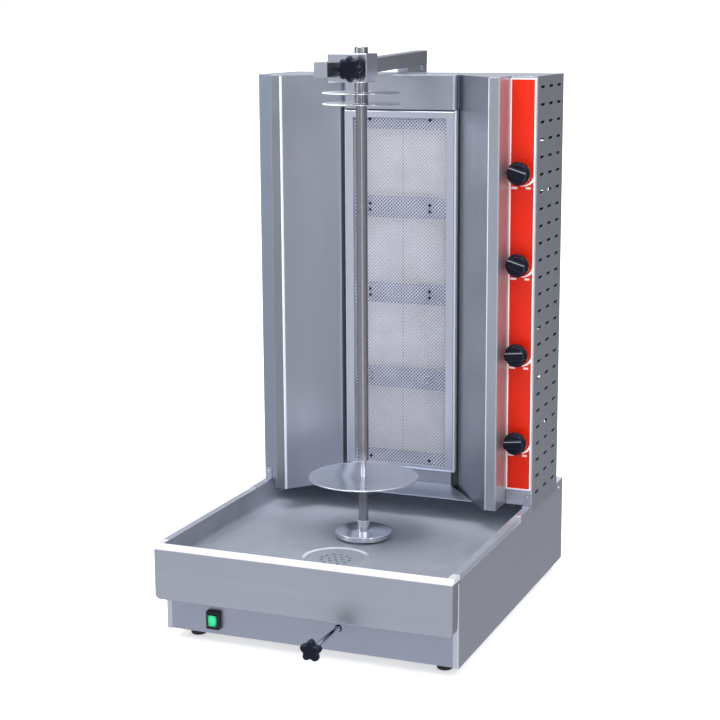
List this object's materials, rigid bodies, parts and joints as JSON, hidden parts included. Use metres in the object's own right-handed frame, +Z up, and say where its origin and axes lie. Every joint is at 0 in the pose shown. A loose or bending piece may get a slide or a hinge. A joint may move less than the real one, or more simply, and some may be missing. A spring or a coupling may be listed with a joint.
{
  "type": "vertical gas kebab grill",
  "caption": "Upright gas grill with a turning spit, a ceramic burner tower between heat wings, a drip pan and a fat drawer.",
  "frame": {"origin": "on the ground under the middle of the whole machine", "axes": "+X to the control column's side, +Y to the back, +Z up along the spit"},
  "size_m": [0.5512, 0.7944, 1.034],
  "materials": {
    "brushed_stainless": "brushed",
    "polished_steel": "polished",
    "galvanised_steel": "spangled, matt",
    "heat_steel": "darkened by heat",
    "polished_aluminium": "polished",
    "painted_metal": "satin paint",
    "cast_iron": "rough casting",
    "brass": "turned",
    "ceramic": "matt, pierced",
    "black_plastic": "satin",
    "lit_green_plastic": "clear, lit from behind",
    "black_rubber": "matt",
    "red_label": "printed film, semi-gloss"
  },
  "bodies": {
    "housing": {"base_side_left": "brushed_stainless", "base_side_right": "brushed_stainless", "base_floor": "galvanised_steel", "base_front_panel": "brushed_stainless", "base_back_panel": "brushed_stainless", "feet": "black_rubber", "carriage_rails": "galvanised_steel", "drawer_runners": "galvanised_steel", "drip_pan": "brushed_stainless", "tower_feet": "brushed_stainless", "tower_side_left": "brushed_stainless", "tower_side_right": "brushed_stainless", "tower_top": "brushed_stainless", "tower_floor": "galvanised_steel", "tower_back": "brushed_stainless", "wing_left": "brushed_stainless", "wing_right": "brushed_stainless", "upper_panel": "brushed_stainless", "drip_apron": "brushed_stainless", "burner_housing": "galvanised_steel", "burner_frame": "brushed_stainless", "burner_mesh": "heat_steel", "divider_strips": "heat_steel", "burner_bodies": "cast_iron", "ceramic_tiles": "ceramic", "gas_manifold": "galvanised_steel", "gas_inlet_fitting": "brass", "gas_valves": "brass", "injector_tubes": "brass", "thermocouples": "polished_steel", "control_label": "red_label", "corner_tabs": "brushed_stainless", "cable_gland": "black_plastic", "switch_body": "black_plastic", "arm_post": "brushed_stainless", "support_arm": "brushed_stainless", "arm_end_caps": "brushed_stainless", "arm_seat": "brushed_stainless", "screws": "polished_steel"},
    "fat_drawer": {"drawer_box": "brushed_stainless", "drawer_front": "brushed_stainless"},
    "carriage": {"carriage_plate": "galvanised_steel", "gear_motor": "painted_metal", "bearing_housing": "painted_metal", "adjuster_rod": "polished_steel"},
    "adjuster": {"adjuster_knob": "black_plastic"},
    "drive": {"drive_shaft": "polished_steel", "drive_disc": "polished_steel"},
    "spit": {"spit_rod": "polished_steel", "meat_plate": "polished_steel", "top_discs": "polished_steel"},
    "head": {"head_block": "polished_aluminium", "top_bush": "brass"},
    "head_clamp": {"head_knob": "black_plastic"},
    "rocker": {"switch_rocker": "lit_green_plastic"},
    "knob_1": {"control_knob_1": "black_plastic"},
    "knob_2": {"control_knob_2": "black_plastic"},
    "knob_3": {"control_knob_3": "black_plastic"},
    "knob_4": {"control_knob_4": "black_plastic"}
  },
  "joints": [
    {"name": "drawer_slide", "type": "slide", "parent": "housing", "child": "fat_drawer", "axis": [0, -1, 0], "range_m": [0, 0.2]},
    {"name": "carriage_slide", "type": "slide", "parent": "housing", "child": "carriage", "axis": [0, 1, 0], "range_m": [-0.03, 0.03]},
    {"name": "head_slide", "type": "slide", "parent": "housing", "child": "head", "axis": [0, 1, 0], "range_m": [-0.03, 0.03]},
    {"name": "spit_turn", "type": "hinge", "parent": "carriage", "child": "drive", "pos_m": [0, -0.01285, 0.146], "axis": [0, 0, 1], "continuous": true},
    {"name": "spit_lift", "type": "slide", "parent": "drive", "child": "spit", "axis": [0, 0, 1], "range_m": [0, 0.015]},
    {"name": "adjuster_turn", "type": "hinge", "parent": "carriage", "child": "adjuster", "pos_m": [0.057, -0.37715, 0.0627], "axis": [0, 1, 0], "continuous": true},
    {"name": "head_clamp_turn", "type": "hinge", "parent": "head", "child": "head_clamp", "pos_m": [0, -0.05385, 0.997], "axis": [0, 1, 0], "continuous": true},
    {"name": "rocker_tip", "type": "hinge", "parent": "housing", "child": "rocker", "pos_m": [-0.179, -0.27585, 0.048], "axis": [1, 0, 0], "range_deg": [-8, 8]},
    {"name": "gas_knob_1_turn", "type": "hinge", "parent": "housing", "child": "knob_1", "pos_m": [0.248, 0.14515, 0.3105], "axis": [0, 1, 0], "range_deg": [-180, 0]},
    {"name": "gas_knob_2_turn", "type": "hinge", "parent": "housing", "child": "knob_2", "pos_m": [0.248, 0.14515, 0.4765], "axis": [0, 1, 0], "range_deg": [-180, 0]},
    {"name": "gas_knob_3_turn", "type": "hinge", "parent": "housing", "child": "knob_3", "pos_m": [0.248, 0.14515, 0.6425], "axis": [0, 1, 0], "range_deg": [-180, 0]},
    {"name": "gas_knob_4_turn", "type": "hinge", "parent": "housing", "child": "knob_4", "pos_m": [0.248, 0.14515, 0.8085], "axis": [0, 1, 0], "range_deg": [-180, 0]}
  ],
  "couplings": [
    {"joint": "head_slide", "follows": "carriage_slide", "ratio": 1}
  ]
}
